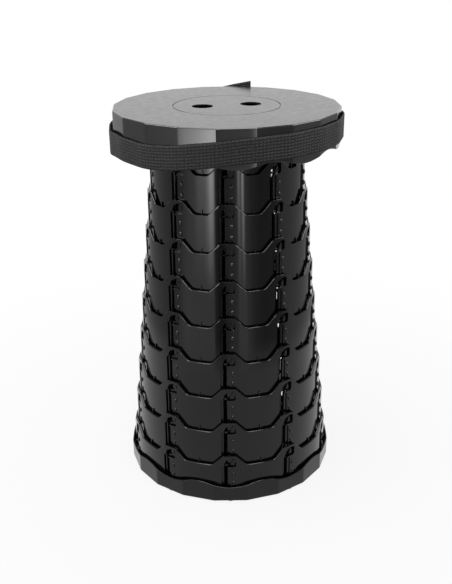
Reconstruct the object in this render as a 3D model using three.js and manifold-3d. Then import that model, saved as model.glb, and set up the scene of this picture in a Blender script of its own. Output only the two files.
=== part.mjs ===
// Collapsible telescopic stool: ten nested rings between a twenty-sided seat cap and a base tray.
// Millimetres, +Z up. The origin is on the stool's axis at floor level, with the stool pulled out.
// Angle 0 faces the front, -Y, and angles grow towards +X.
import * as THREE from "three";
import { mergeVertices } from "three/addons/utils/BufferGeometryUtils.js";
import Module from "manifold-3d";

const wasm = await Module();
wasm.setup();

// Counts and turns
const RINGS = 10;
const SLOTS = 10;
const DRUM_SIDES = 20;
const COLUMNS_PER_SIDE = 3;
const ROUND_STEPS = 20;
const SCREWS = 5;
const SCREW_STEPS = 8;
const CATCHES = 4;
const SEAT_TURN = THREE.MathUtils.degToRad(4.4);

// Whole stool
const STOOL_HEIGHT = 450;
const CLEARANCE = 0.3;
const OVERRUN = 4;
const WELD = 1e-3;

// Ring walls, with a hump over each slot
const RING_OUTER = 123.5;
const RING_STEP = 4.15;
const RING_WALL = 2.2;
const RING_OVERLAP = 3;
const HUMP_RISE = 12.4;
const HUMP_LEFT = 8.8;
const HUMP_RIGHT = 7.6;
const HUMP_SLANT = 13;

// Hooked slot through each hump: an upright slot that opens at its top into a wide crook
const SLOT_WIDTH = 4.4;
const SLOT_OFFSET = 5.3;
const SLOT_FOOT = 1.8;
const BRIDGE = 2.8;
const CROOK_REACH = 14.5;
const CROOK_HEIGHT = 12;
const CROOK_CORNER = 2;
const CROOK_RUN = 8.5;
const CROOK_RISE = 8.7;
const BEND_RUN = 2.3;
const BEND_RISE = 2.8;

// Drop-shaped lock stud, and centring rib, at the foot of each ring
const STUD_WIDTH = 6;
const STUD_HEIGHT = 9.2;
const STUD_LIFT = 0.4;
const STUD_CORNER = 1.6;
const STUD_TIP = 1.8;
const STUD_PLAY = 1.1;
const RIB_WIDTH = 1.2;
const RIB_HEIGHT = 7.2;
const RIB_LIFT = 0.6;
const ROOT = 1;

// Base tray
const BASE_CORNER = 128.4;
const BASE_WALL = 2;
const BASE_FLOOR = 1.8;
const BASE_EDGE = 0.8;
const BAND_HEIGHT = 23;
const WAVE = 3.5;
const LUG_HEIGHT = 1.2;
const LUG_WIDTH = 4.5;
const LUG_DEPTH = 5;
const CATCH_WIDTH = 3.4;
const CATCH_HEIGHT = 3;
const CATCH_BITE = 1.4;

// Seat cap
const SEAT_CORNER = 129.6;
const SEAT_PLATE = 3;
const SKIRT_WALL = 2;
const SKIRT_DEPTH = 39.8;
const SEAT_EDGE = 1.5;

// Centre disc in its rebate
const DISC_RADIUS = 61.2;
const DISC_PLATE = 1.8;
const DISC_LEDGE = 2.5;
const DISC_COLLAR = 5;
const COLLAR_WALL = 1.8;
const HOOK_BITE = 1.2;
const HOOK_WIDTH = 8;
const HOOK_THICK = 1.5;
const FINGER_RADIUS = 12;
const FINGER_SPACING = 56;
const FINGER_TURN = THREE.MathUtils.degToRad(13);

// Screws that hold the top ring to the seat
const SCREW_RADIUS = 2;
const SCREW_HEAD = 3.8;
const SCREW_HEAD_HEIGHT = 2.4;
const SCREW_GRIP = 6.5;
const BOSS_RADIUS = 4.2;
const BOSS_HEIGHT = 10;
const TAB_LENGTH = 10;
const TAB_WIDTH = 11;
const TAB_THICK = 3;

// Carry strap round the skirt
const WEB_WIDTH = 26;
const WEB_THICK = 1.6;
const WEB_GAP = 0.5;
const WEB_DEPTH = 20;
const WEB_SAG = 13.5;
const WEB_SAG_ANGLE = THREE.MathUtils.degToRad(-40);
const WEB_SAG_SPREAD = THREE.MathUtils.degToRad(38);
const WEB_SLACK = 1.6;
const WEB_SLACK_POWER = 4;

// Strap adjuster and the strap's loose end
const SLIDER_SIDE = 11;
const SLIDER_LENGTH = 24;
const SLIDER_BAR = 3;
const SLIDER_THICK = 2.4;
const TAIL_LENGTH = 69;
const TAIL_LIFT = 14.5;

const TURN = 2 * Math.PI;
const DRUM_STEP = TURN / DRUM_SIDES;
const SLOT_STEP = TURN / SLOTS;
const GAP = RING_STEP - RING_WALL;
const FLOOR_TOP = LUG_HEIGHT + BASE_FLOOR;
const RING_FOOT = FLOOR_TOP + CLEARANCE;
const SEAT_UNDER = STOOL_HEIGHT - SEAT_PLATE;
const RING_PITCH = (SEAT_UNDER - CLEARANCE - RING_FOOT - RING_OVERLAP - HUMP_RISE) / RINGS;
const RING_LOW = RING_PITCH + RING_OVERLAP;
const RING_TOP = RING_LOW + HUMP_RISE;
const LAST_INNER = RING_OUTER - (RINGS - 1) * RING_STEP - RING_WALL;
const BASE_FLAT = BASE_CORNER * Math.cos(DRUM_STEP / 2);

// Left side of the slot, and middle of the lock stud, which shows in the crook of the ring outside it
const SLOT_LEFT = -SLOT_OFFSET - SLOT_WIDTH / 2;
const STUD_MIDDLE = SLOT_LEFT + CROOK_REACH - STUD_PLAY - STUD_WIDTH / 2;

// Circle of the screws, and foot of the tabs that they pass through
const SCREW_CIRCLE = LAST_INNER - TAB_LENGTH / 2;
const TAB_FOOT = SEAT_UNDER - BOSS_HEIGHT - CLEARANCE - TAB_THICK;

// Inner corners and outer flats of the strap, and the flat side, at the back left, that has its adjuster
const WEB_CORNER = SEAT_CORNER + WEB_GAP;
const WEB_FACE = (WEB_CORNER + WEB_THICK) * Math.cos(DRUM_STEP / 2);
const SLIDER_ANGLE = SEAT_TURN + SLIDER_SIDE * DRUM_STEP;

const BLACK = new THREE.MeshStandardMaterial({ color: 0x17181a, roughness: 0.32, metalness: 0 });
const SATIN = new THREE.MeshStandardMaterial({ color: 0x2b2c2e, roughness: 0.55, metalness: 0 });
const WEBBING = new THREE.MeshStandardMaterial({ color: 0x1c1d1f, roughness: 0.9, metalness: 0 });
const STEEL = new THREE.MeshStandardMaterial({ color: 0x8d9094, roughness: 0.35, metalness: 1 });

// A closed geometry as a solid that can be joined and cut.
function solid(geometry) {
  const bare = new THREE.BufferGeometry();
  bare.setAttribute("position", geometry.getAttribute("position"));
  bare.setIndex(geometry.index);
  const welded = mergeVertices(bare, WELD);
  return new wasm.Manifold(
    new wasm.Mesh({
      numProp: 3,
      vertProperties: new Float32Array(welded.getAttribute("position").array),
      triVerts: new Uint32Array(welded.index.array),
    }),
  );
}

function joined(solids) {
  return wasm.Manifold.union(solids);
}

// A named mesh from a solid.
function meshOf(name, shape, material) {
  const { vertProperties, triVerts } = shape.getMesh();
  const geometry = new THREE.BufferGeometry();
  geometry.setAttribute("position", new THREE.BufferAttribute(vertProperties, 3));
  geometry.setIndex(new THREE.BufferAttribute(triVerts, 1));
  geometry.computeVertexNormals();
  const mesh = new THREE.Mesh(geometry, material.clone());
  mesh.name = name;
  return mesh;
}

// A wall lathed about the axis, whose columns stand at the given angles.
// Each profile point is [radius, height], and place may move it at each column's angle.
function turned(profile, angles, place) {
  const points = profile.map(([radius, height]) => new THREE.Vector2(radius, height));
  const geometry = new THREE.LatheGeometry(points, angles.length);
  const position = geometry.getAttribute("position");
  for (let i = 0; i < position.count; i++) {
    const angle = angles[Math.floor(i / points.length) % angles.length];
    const [radius, height] = place(profile[i % points.length], angle);
    position.setXYZ(i, radius * Math.sin(angle), -radius * Math.cos(angle), height);
  }
  return solid(geometry);
}

// Moves a geometry drawn as x along the wall, y up and z outwards to its place on a wall.
function onWall(geometry, angle, distance, height) {
  const outward = new THREE.Vector3(Math.sin(angle), -Math.cos(angle), 0);
  const along = new THREE.Vector3(Math.cos(angle), Math.sin(angle), 0);
  const up = new THREE.Vector3(0, 0, 1);
  const place = new THREE.Matrix4().makeBasis(along, up, outward);
  place.setPosition(outward.multiplyScalar(distance).setZ(height));
  return geometry.applyMatrix4(place);
}

// A block on a wall, from one distance to another, standing on its foot height.
function wallBlock(width, height, near, far, angle, foot) {
  const box = new THREE.BoxGeometry(width, height, far - near);
  return solid(onWall(box, angle, (near + far) / 2, foot + height / 2));
}

function shapeOf(points) {
  return new THREE.Shape(points.map(([x, y]) => new THREE.Vector2(x, y)));
}

// An upright round bar of few sides.
function bar(radius, low, high, x, y, steps) {
  const cylinder = new THREE.CylinderGeometry(radius, radius, high - low, steps);
  cylinder.rotateX(Math.PI / 2).translate(x, y, (low + high) / 2);
  return solid(cylinder);
}

function repeat(count, make) {
  return Array.from({ length: count }, (_, i) => make(i));
}

// Outline of the hooked slot, measured from the hump's middle and the ring's foot.
function hookOutline() {
  const right = SLOT_LEFT + CROOK_REACH;
  const top = RING_TOP - BRIDGE;
  const floor = top - CROOK_HEIGHT;
  return shapeOf([
    [SLOT_LEFT, SLOT_FOOT],
    [SLOT_LEFT + SLOT_WIDTH, SLOT_FOOT],
    [SLOT_LEFT + SLOT_WIDTH, floor],
    [right - CROOK_CORNER, floor],
    [right, floor + CROOK_CORNER],
    [right, top - CROOK_CORNER],
    [right - CROOK_CORNER, top],
    [SLOT_LEFT + CROOK_RUN, top],
    [SLOT_LEFT + BEND_RUN, top - BEND_RISE],
    [SLOT_LEFT, top - CROOK_RISE],
  ]);
}

// Outline of the lock stud about its own middle, wide at its foot and narrow at its tip.
function studOutline() {
  const side = STUD_WIDTH / 2;
  const tip = STUD_TIP / 2;
  return shapeOf([
    [STUD_CORNER - side, 0],
    [side - STUD_CORNER, 0],
    [side, STUD_CORNER],
    [tip, STUD_HEIGHT],
    [-tip, STUD_HEIGHT],
    [-side, STUD_CORNER],
  ]);
}

// One ring: humped wall, ten hooked slots, ten lock studs and ten centring ribs.
function ringSolid(index) {
  const outer = RING_OUTER - index * RING_STEP;
  const inner = outer - RING_WALL;
  const foot = RING_FOOT + index * RING_PITCH;
  const isLast = index === RINGS - 1;
  const low = isLast ? RING_TOP : RING_LOW;
  const rise = isLast ? 0 : HUMP_RISE;
  const room = index === 0 ? BASE_FLAT - BASE_WALL - outer : GAP;
  const proud = room - CLEARANCE;

  const rises = new Map();
  for (let slot = 0; slot < SLOTS; slot++) {
    const middle = slot * SLOT_STEP;
    rises.set(middle - SLOT_STEP / 2, 0);
    rises.set(middle - (HUMP_LEFT + HUMP_SLANT) / outer, 0);
    rises.set(middle - HUMP_LEFT / outer, rise);
    rises.set(middle + HUMP_RIGHT / outer, rise);
    rises.set(middle + (HUMP_RIGHT + HUMP_SLANT) / outer, 0);
  }
  const wall = turned(
    [[inner, 0], [outer, 0], [outer, low], [inner, low], [inner, 0]],
    [...rises.keys()],
    ([radius, height], angle) => [radius, foot + height + (height ? rises.get(angle) : 0)],
  );

  const hook = hookOutline();
  const studShape = studOutline();
  const face = outer * Math.cos((HUMP_LEFT + HUMP_RIGHT) / outer / 2);
  const added = [wall];
  const cut = [];
  for (let slot = 0; slot < SLOTS; slot++) {
    const middle = slot * SLOT_STEP;
    const prism = new THREE.ExtrudeGeometry(hook, { depth: RING_WALL + 2 * OVERRUN, bevelEnabled: false });
    prism.translate(0, 0, -RING_WALL - OVERRUN);
    cut.push(solid(onWall(prism, middle, face, foot)));

    const stud = new THREE.ExtrudeGeometry(studShape, { depth: ROOT + proud, bevelEnabled: false });
    stud.translate(STUD_MIDDLE, 0, -ROOT);
    added.push(solid(onWall(stud, middle, face, foot + STUD_LIFT)));

    const between = middle + SLOT_STEP / 2;
    added.push(wallBlock(RIB_WIDTH, RIB_HEIGHT, outer - ROOT, outer + proud, between, foot + RIB_LIFT));
  }
  if (isLast) {
    added.push(...repeat(SCREWS, tab));
    cut.push(...repeat(SCREWS, (i) => screwHole(i, TAB_FOOT - OVERRUN, TAB_FOOT + TAB_THICK + OVERRUN)));
  }
  return joined(added).subtract(joined(cut));
}

// Screws stand on a circle inside the top ring, between its slots.
function screwAngle(i) {
  return SLOT_STEP / 2 + (i * TURN) / SCREWS;
}

function screwPlace(i) {
  const angle = screwAngle(i);
  return [SCREW_CIRCLE * Math.sin(angle), -SCREW_CIRCLE * Math.cos(angle)];
}

function screwHole(i, low, high) {
  return bar(SCREW_RADIUS + CLEARANCE, low, high, ...screwPlace(i), SCREW_STEPS);
}

function tab(i) {
  const near = LAST_INNER - TAB_LENGTH;
  return wallBlock(TAB_WIDTH, TAB_THICK, near, LAST_INNER + ROOT, screwAngle(i), TAB_FOOT);
}

function screwSolid(i) {
  const head = TAB_FOOT - CLEARANCE;
  const profile = [
    [0, head - SCREW_HEAD_HEIGHT],
    [SCREW_HEAD, head - SCREW_HEAD_HEIGHT],
    [SCREW_HEAD, head],
    [SCREW_RADIUS, head],
    [SCREW_RADIUS, TAB_FOOT + TAB_THICK + SCREW_GRIP],
    [0, TAB_FOOT + TAB_THICK + SCREW_GRIP],
  ];
  const angles = repeat(SCREW_STEPS, (step) => (step * TURN) / SCREW_STEPS);
  return turned(profile, angles, (point) => point).translate(...screwPlace(i), 0);
}

// Angles of the columns of a drum wall, with three spans to each flat side.
function drumAngles(turn) {
  const count = DRUM_SIDES * COLUMNS_PER_SIDE;
  return repeat(count, (i) => turn + DRUM_STEP / 2 + (i * TURN) / count);
}

// Radius of a flat-sided drum at an angle, from its corner radius.
function drumRadius(corner, angle, turn) {
  const fromFlat = Math.round((angle - turn) / DRUM_STEP) * DRUM_STEP;
  return (corner * Math.cos(DRUM_STEP / 2)) / Math.cos(angle - turn - fromFlat);
}

// Height of the wavy parting edge above its mean, lowest over each slot.
function wave(angle, turn) {
  return -WAVE * Math.cos(SLOTS * (angle - turn));
}

// Base tray: floor, wavy band, ten standing lugs and ten catches that hold the lowest ring.
function baseSolid() {
  const profile = [
    [0, LUG_HEIGHT],
    [BASE_CORNER - BASE_EDGE, LUG_HEIGHT],
    [BASE_CORNER, LUG_HEIGHT + BASE_EDGE],
    [BASE_CORNER, BAND_HEIGHT],
    [BASE_CORNER - BASE_WALL, BAND_HEIGHT],
    [BASE_CORNER - BASE_WALL, FLOOR_TOP],
    [0, FLOOR_TOP],
  ];
  const tray = turned(profile, drumAngles(0), ([radius, height], angle) => [
    drumRadius(radius, angle, 0),
    height === BAND_HEIGHT ? height + wave(angle, 0) : height,
  ]);
  const parts = [tray];
  const inside = BASE_FLAT - BASE_WALL;
  const lugFace = BASE_FLAT - BASE_EDGE;
  for (let slot = 0; slot < SLOTS; slot++) {
    const middle = slot * SLOT_STEP;
    parts.push(wallBlock(LUG_WIDTH, FLOOR_TOP, lugFace - LUG_DEPTH, lugFace, middle, 0));
    const bite = new THREE.BoxGeometry(CATCH_WIDTH, CATCH_HEIGHT, inside + ROOT - RING_OUTER + CATCH_BITE);
    bite.translate(-SLOT_OFFSET, CATCH_HEIGHT / 2, (inside + ROOT - RING_OUTER - CATCH_BITE) / 2);
    parts.push(solid(onWall(bite, middle, RING_OUTER, RING_FOOT + SLOT_FOOT + CLEARANCE)));
  }
  return joined(parts);
}

// Seat cap: plate with a rebate for the disc, wavy skirt and five screw bosses.
function seatSolid() {
  const skirt = STOOL_HEIGHT - SKIRT_DEPTH;
  const rebate = DISC_RADIUS + CLEARANCE;
  const ledge = STOOL_HEIGHT - DISC_PLATE - CLEARANCE;
  const profile = [
    [rebate - DISC_LEDGE, SEAT_UNDER],
    [SEAT_CORNER - SKIRT_WALL, SEAT_UNDER],
    [SEAT_CORNER - SKIRT_WALL, skirt],
    [SEAT_CORNER, skirt],
    [SEAT_CORNER, STOOL_HEIGHT - SEAT_EDGE],
    [SEAT_CORNER - SEAT_EDGE, STOOL_HEIGHT],
    [rebate, STOOL_HEIGHT],
    [rebate, ledge],
    [rebate - DISC_LEDGE, ledge],
    [rebate - DISC_LEDGE, SEAT_UNDER],
  ];
  const cap = turned(profile, drumAngles(SEAT_TURN), ([radius, height], angle) => [
    radius > rebate ? drumRadius(radius, angle, SEAT_TURN) : radius,
    height === skirt ? skirt + wave(angle, SEAT_TURN) : height,
  ]);
  const bossFoot = SEAT_UNDER - BOSS_HEIGHT;
  const bosses = repeat(SCREWS, (i) =>
    bar(BOSS_RADIUS, bossFoot, SEAT_UNDER + ROOT, ...screwPlace(i), SCREW_STEPS),
  );
  const bores = repeat(SCREWS, (i) => screwHole(i, bossFoot - OVERRUN, SEAT_UNDER - ROOT));
  return joined([cap, ...bosses]).subtract(joined(bores));
}

// Centre disc: plate with two finger holes, and a collar whose four hooks grip under the ledge.
function discSolid() {
  const under = STOOL_HEIGHT - DISC_PLATE;
  const collar = DISC_RADIUS - DISC_LEDGE;
  const profile = [
    [0, under],
    [collar - COLLAR_WALL, under],
    [collar - COLLAR_WALL, under - DISC_COLLAR],
    [collar, under - DISC_COLLAR],
    [collar, under],
    [DISC_RADIUS, under],
    [DISC_RADIUS, STOOL_HEIGHT],
    [0, STOOL_HEIGHT],
  ];
  const steps = 2 * ROUND_STEPS;
  const angles = repeat(steps, (i) => (i * TURN) / steps);
  const plate = turned(profile, angles, (point) => point);
  const hooks = repeat(CATCHES, (i) =>
    wallBlock(
      HOOK_WIDTH,
      HOOK_THICK,
      collar - COLLAR_WALL / 2,
      collar + HOOK_BITE,
      FINGER_TURN + (i * TURN) / CATCHES,
      SEAT_UNDER - CLEARANCE - HOOK_THICK,
    ),
  );
  const holes = [-1, 1].map((side) => {
    const reach = (side * FINGER_SPACING) / 2;
    const x = reach * Math.cos(FINGER_TURN);
    const y = reach * Math.sin(FINGER_TURN);
    return bar(FINGER_RADIUS, under - OVERRUN, STOOL_HEIGHT + OVERRUN, x, y, ROUND_STEPS);
  });
  return joined([plate, ...hooks]).subtract(joined(holes));
}

// How far the strap's middle lies below the seat's top at an angle.
function webDepth(angle) {
  const off = Math.atan2(Math.sin(angle - WEB_SAG_ANGLE), Math.cos(angle - WEB_SAG_ANGLE));
  return WEB_DEPTH + WEB_SAG * Math.exp(-((off / WEB_SAG_SPREAD) ** 2));
}

// How far the strap stands off the seat's corners, most at the two sides.
function webSlack(angle) {
  return WEB_SLACK * Math.sin(angle) ** WEB_SLACK_POWER;
}

// Strap loop: webbing drawn from corner to corner of the skirt, slack at its two sides.
function strapSolid() {
  const half = WEB_WIDTH / 2;
  const profile = [
    [WEB_CORNER, -half],
    [WEB_CORNER + WEB_THICK, -half],
    [WEB_CORNER + WEB_THICK, half],
    [WEB_CORNER, half],
    [WEB_CORNER, -half],
  ];
  const corners = repeat(DRUM_SIDES, (i) => SEAT_TURN + (i + 1 / 2) * DRUM_STEP);
  return turned(profile, corners, ([radius, height], angle) => [
    radius + webSlack(angle),
    STOOL_HEIGHT - webDepth(angle) + height,
  ]);
}

// Room between the strap and what lies on it, on the flat side that carries the adjuster.
function sliderGap() {
  return CLEARANCE + webSlack(SLIDER_ANGLE - DRUM_STEP / 2);
}

// Strap adjuster: a frame with a middle bar, flat on the outside of the strap.
function sliderSolid() {
  const near = WEB_FACE + sliderGap();
  const foot = STOOL_HEIGHT - webDepth(SLIDER_ANGLE) - WEB_WIDTH / 2;
  const height = WEB_WIDTH + 2 * SLIDER_BAR;
  const far = near + SLIDER_THICK;
  const plate = wallBlock(SLIDER_LENGTH, height, near, far, SLIDER_ANGLE, foot - SLIDER_BAR);
  const window = SLIDER_LENGTH / 2 - (3 * SLIDER_BAR) / 2;
  const windows = [-1, 1].map((side) => {
    const box = new THREE.BoxGeometry(window, WEB_WIDTH, SLIDER_THICK + 2 * OVERRUN);
    box.translate((side * (SLIDER_BAR + window)) / 2, WEB_WIDTH / 2, 0);
    return solid(onWall(box, SLIDER_ANGLE, near, foot));
  });
  return plate.subtract(joined(windows));
}

// Loose end of the strap: it leaves the adjuster and climbs across the back of the skirt.
function tailSolid() {
  const inner = WEB_CORNER + WEB_THICK + sliderGap();
  const start = SLIDER_ANGLE - (SLIDER_LENGTH / 2 + CLEARANCE) / WEB_FACE;
  const end = start - TAIL_LENGTH / WEB_FACE;
  const bends = [start];
  for (let corner = SLIDER_ANGLE - DRUM_STEP / 2; corner > end; corner -= DRUM_STEP) bends.push(corner);
  bends.push(end);
  const edge = (corner) =>
    bends.map((angle) => {
      const radius = drumRadius(corner, angle, SEAT_TURN);
      return [radius * Math.sin(angle), -radius * Math.cos(angle)];
    });
  const outline = shapeOf([...edge(inner), ...edge(inner + WEB_THICK).reverse()]);
  const band = new THREE.ExtrudeGeometry(outline, { depth: WEB_WIDTH, bevelEnabled: false });
  const position = band.getAttribute("position");
  const foot = STOOL_HEIGHT - webDepth(start) - WEB_WIDTH / 2;
  for (let i = 0; i < position.count; i++) {
    const angle = Math.atan2(position.getX(i), -position.getY(i));
    const along = (start - (angle < 0 ? angle + TURN : angle)) / (start - end);
    position.setZ(i, foot + position.getZ(i) + TAIL_LIFT * along);
  }
  return solid(band);
}

const stool = new THREE.Group();
const base = new THREE.Group();
const seat = new THREE.Group();
stool.add(base);
base.add(meshOf("base_tray", baseSolid(), BLACK));
for (let index = 0; index < RINGS; index++) {
  const name = "ring_" + String(index + 1).padStart(2, "0");
  const holder = index === 0 ? base : index === RINGS - 1 ? seat : stool;
  holder.add(meshOf(name, ringSolid(index), BLACK));
}
seat.add(meshOf("seat_cap", seatSolid(), SATIN));
seat.add(meshOf("centre_disc", discSolid(), SATIN));
for (let i = 0; i < SCREWS; i++) seat.add(meshOf("seat_screw_" + (i + 1), screwSolid(i), STEEL));
seat.add(meshOf("carry_strap", strapSolid(), WEBBING));
seat.add(meshOf("strap_slider", sliderSolid(), BLACK));
seat.add(meshOf("strap_tail", tailSolid(), WEBBING));
stool.add(seat);

export default stool;
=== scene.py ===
from math import atan2, cos, exp, pi, radians, sin

import bmesh
import bpy
from mathutils import Matrix, Vector


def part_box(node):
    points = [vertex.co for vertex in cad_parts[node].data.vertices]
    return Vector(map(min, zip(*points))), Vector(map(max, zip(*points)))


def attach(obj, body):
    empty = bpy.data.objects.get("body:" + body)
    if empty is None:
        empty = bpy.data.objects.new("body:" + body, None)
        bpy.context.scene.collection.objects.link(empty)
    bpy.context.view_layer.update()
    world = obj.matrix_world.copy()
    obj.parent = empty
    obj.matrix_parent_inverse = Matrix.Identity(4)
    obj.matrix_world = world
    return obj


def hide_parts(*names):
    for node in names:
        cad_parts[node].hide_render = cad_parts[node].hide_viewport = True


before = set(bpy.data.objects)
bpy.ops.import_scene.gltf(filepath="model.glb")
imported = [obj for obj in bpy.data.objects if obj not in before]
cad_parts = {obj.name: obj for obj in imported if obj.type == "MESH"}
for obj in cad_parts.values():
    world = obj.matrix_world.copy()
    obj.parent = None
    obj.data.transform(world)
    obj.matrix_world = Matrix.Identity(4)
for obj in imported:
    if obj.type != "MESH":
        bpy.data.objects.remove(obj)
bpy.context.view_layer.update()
scene = bpy.context.scene

# Camera
# It stands in front of the stool, a little above the seat, and looks down at it. The lens axis
# lies below the middle of the picture, as it does where an upright picture is cropped at its top.
CAMERA_PLACE = Vector((0, -1.0079, 0.6321))
CAMERA_PITCH = 0.4263
CAMERA_YAW = 0.0117
CAMERA_ROLL = -0.005
SENSOR_HEIGHT = 36
PICTURE_HEIGHT = 584
FOCAL_PIXELS = 878.7
AXIS_RIGHT = 12.27
AXIS_DOWN = 34.94

lens = bpy.data.cameras.new("camera")
lens.sensor_fit = "VERTICAL"
lens.sensor_height = SENSOR_HEIGHT
lens.lens = FOCAL_PIXELS * SENSOR_HEIGHT / PICTURE_HEIGHT
lens.shift_x = -AXIS_RIGHT / PICTURE_HEIGHT
lens.shift_y = AXIS_DOWN / PICTURE_HEIGHT
camera = bpy.data.objects.new("camera", lens)
camera.matrix_world = (
    Matrix.Translation(CAMERA_PLACE)
    @ Matrix.Rotation(-CAMERA_YAW, 4, "Z")
    @ Matrix.Rotation(pi / 2 - CAMERA_PITCH, 4, "X")
    @ Matrix.Rotation(CAMERA_ROLL, 4, "Z")
)
scene.collection.objects.link(camera)
scene.camera = camera

# Nested rings
# Ten injection mouldings in glossy black polypropylene, each a thin wall with ten humps. A hooked
# slot runs up every hump, and the lock stud of the next ring stands in its crook.
MM = 0.001
RINGS = 10
SECTORS = 10
SECTOR = 2 * pi / SECTORS
SECTOR_START = radians(-16)
WALL_COLUMNS = 18
CORNER_SEGMENTS = 5
RING_OUTER = 123.5 * MM
RING_STEP = 4.15 * MM
RING_WALL = 2.2 * MM
EDGE_ROUND = 0.7 * MM
CREST_ROUND = 1.1 * MM
CREST_SEGMENTS = 3
SHARP_ANGLE = radians(50)
WELD = 0.005 * MM
WELD_LINE = Vector((2 ** 0.5, 3 ** 0.5, 5 ** 0.5))

HUMP_RISE = 12.4 * MM
HUMP_LEFT = 8.8 * MM
HUMP_RIGHT = 7.6 * MM
HUMP_SLANT = 13 * MM
HUMP_ROUND = 1.8 * MM
LOW_ROUND = 2 * MM

SLOT_LEFT = -7.5 * MM
SLOT_RIGHT = -3.1 * MM
SLOT_FOOT = 1.8 * MM
SLOT_ROUND = 0.8 * MM
RECESS_LEFT = -10.4 * MM
RECESS_RIGHT = 0.2 * MM
RECESS_DEPTH_LEFT = 3 * MM
RECESS_DEPTH_RIGHT = 1.3 * MM
RECESS_PLATE = 0.9 * MM
RECESS_FOOT = 2.6 * MM
RECESS_LEFT_TOP = 13.6 * MM
RECESS_RIGHT_TOP = 16.6 * MM
CROOK_LEFT = -5.2 * MM
CROOK_MIDDLE = 1 * MM
CROOK_RIGHT = 7 * MM
CROOK_TOP = 2.8 * MM
CROOK_BEND = 5.6 * MM
CROOK_SIDE = 11.5 * MM
CROOK_FLOOR = 14.8 * MM
CROOK_ROUND = 2.2 * MM

STUD_LEFT = -0.3 * MM
STUD_RIGHT = 5.9 * MM
STUD_TIP = 3.3 * MM
STUD_FOOT = 0.4 * MM
STUD_TOP = 10.4 * MM
STUD_PROUD = 1.65 * MM
STUD_ROUND = 2 * MM
ROOT = 0.5 * MM

NUB_ALONG = 4 * MM
NUB_HEIGHTS = (20.9 * MM, 33.4 * MM)
NUB_SIZE = Vector((2 * MM, 1.65 * MM, 3.1 * MM))
NUB_SEGMENTS = 12
RIB_WIDTH = 1.2 * MM
RIB_HEIGHT = 7.2 * MM
RIB_LIFT = 0.6 * MM
RIB_PROUD = 1.65 * MM
GUIDE_WIDTH = 1.5 * MM
GUIDE_DEPTH = 1.7 * MM
GUIDE_LEAN = 1.1 * MM
SCREWS = 5
TAB_LENGTH = 10 * MM
TAB_WIDTH = 11 * MM
TAB_THICK = 3 * MM
TAB_FOOT = 433.7 * MM

# Cosines that tell the flats, the rims and the roundings between them apart, for the shading
FLAT_COSINE = 0.99
RIM_COSINE = 0.05
RIM_ALIKE = 0.7
ROUND_ALIKE = 0.3

RING_BLACK = "#0c0c0d"
PLASTIC_IOR = 1.49
FLOW_LINE = 2.5 * MM
FLOW_STRETCH = 0.02
FLOW_DEPTH = 0.02 * MM


def linear(colour):
    """A hex sRGB colour as linear red, green, blue and alpha."""
    shares = [int(colour[i:i + 2], 16) / 255 for i in (1, 3, 5)]
    return [s / 12.92 if s <= 0.04045 else ((s + 0.055) / 1.055) ** 2.4 for s in shares] + [1]


def add_node(tree, kind, inputs, **settings):
    """A shader node with its settings. Each input takes a value, or the output of another node."""
    made = tree.nodes.new("ShaderNode" + kind)
    for name, value in settings.items():
        setattr(made, name, value)
    for socket, value in inputs.items():
        if isinstance(value, bpy.types.NodeSocket):
            tree.links.new(value, made.inputs[socket])
        else:
            made.inputs[socket].default_value = value
    return made


def new_material(name):
    material = bpy.data.materials.new(name)
    material.use_nodes = True
    material.node_tree.nodes.clear()
    return material, material.node_tree


def glossy_polypropylene():
    """Polypropylene from a polished mould: deep black, with faint upright flow lines in its gloss."""
    material, tree = new_material("glossy_black_polypropylene")
    place = add_node(tree, "TexCoord", {})
    upright = add_node(tree, "Mapping", {"Vector": place.outputs["Object"], "Scale": (1, 1, FLOW_STRETCH)})
    flow = add_node(tree, "TexNoise", {"Vector": upright.outputs[0], "Scale": 1 / FLOW_LINE, "Detail": 3})
    gloss = add_node(tree, "MapRange", {"Value": flow.outputs[0], "To Min": 0.04, "To Max": 0.11})
    bump = add_node(tree, "Bump", {"Height": flow.outputs[0], "Distance": FLOW_DEPTH, "Strength": 0.6})
    shader = add_node(tree, "BsdfPrincipled", {
        "Base Color": linear(RING_BLACK), "Roughness": gloss.outputs[0], "Normal": bump.outputs[0],
        "IOR": PLASTIC_IOR, "Specular IOR Level": 0.29,
    })
    add_node(tree, "OutputMaterial", {"Surface": shader.outputs[0]})
    return material


def draw_loop(bm, corners):
    """A closed loop of edges on a flat panel. Each corner is a place along it, a height and a rounding."""
    verts = [bm.verts.new((along, 0, height)) for along, height, _ in corners]
    for pair in zip(verts, verts[1:] + verts[:1]):
        bm.edges.new(pair)
    for vert, (_, _, rounding) in zip(verts, corners):
        if rounding:
            bmesh.ops.bevel(
                bm, geom=[vert], offset=rounding, offset_type="OFFSET", segments=CORNER_SEGMENTS,
                profile=0.5, affect="VERTICES", material=-1,
            )


def each_once(items):
    """The items in their order, each one once. A set would give them in an order that varies."""
    return list(dict.fromkeys(items))


def round_edges(bm, edges, width, segments=2):
    return bmesh.ops.bevel(
        bm, geom=edges, offset=width, offset_type="OFFSET", segments=segments,
        profile=0.5, affect="EDGES", material=-1, clamp_overlap=True,
    )


def sharp_edges(edges, angle=SHARP_ANGLE):
    return [edge for edge in edges if len(edge.link_faces) == 2 and edge.calc_face_angle() > angle]


def thicken(bm, faces, thickness):
    """Gives a flat sheet its thickness along +Y and turns its faces outwards."""
    made = bmesh.ops.extrude_face_region(bm, geom=faces)["geom"]
    verts = [item for item in made if isinstance(item, bmesh.types.BMVert)]
    bmesh.ops.translate(bm, vec=(0, thickness, 0), verts=verts)
    bmesh.ops.recalc_face_normals(bm, faces=bm.faces[:])


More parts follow.
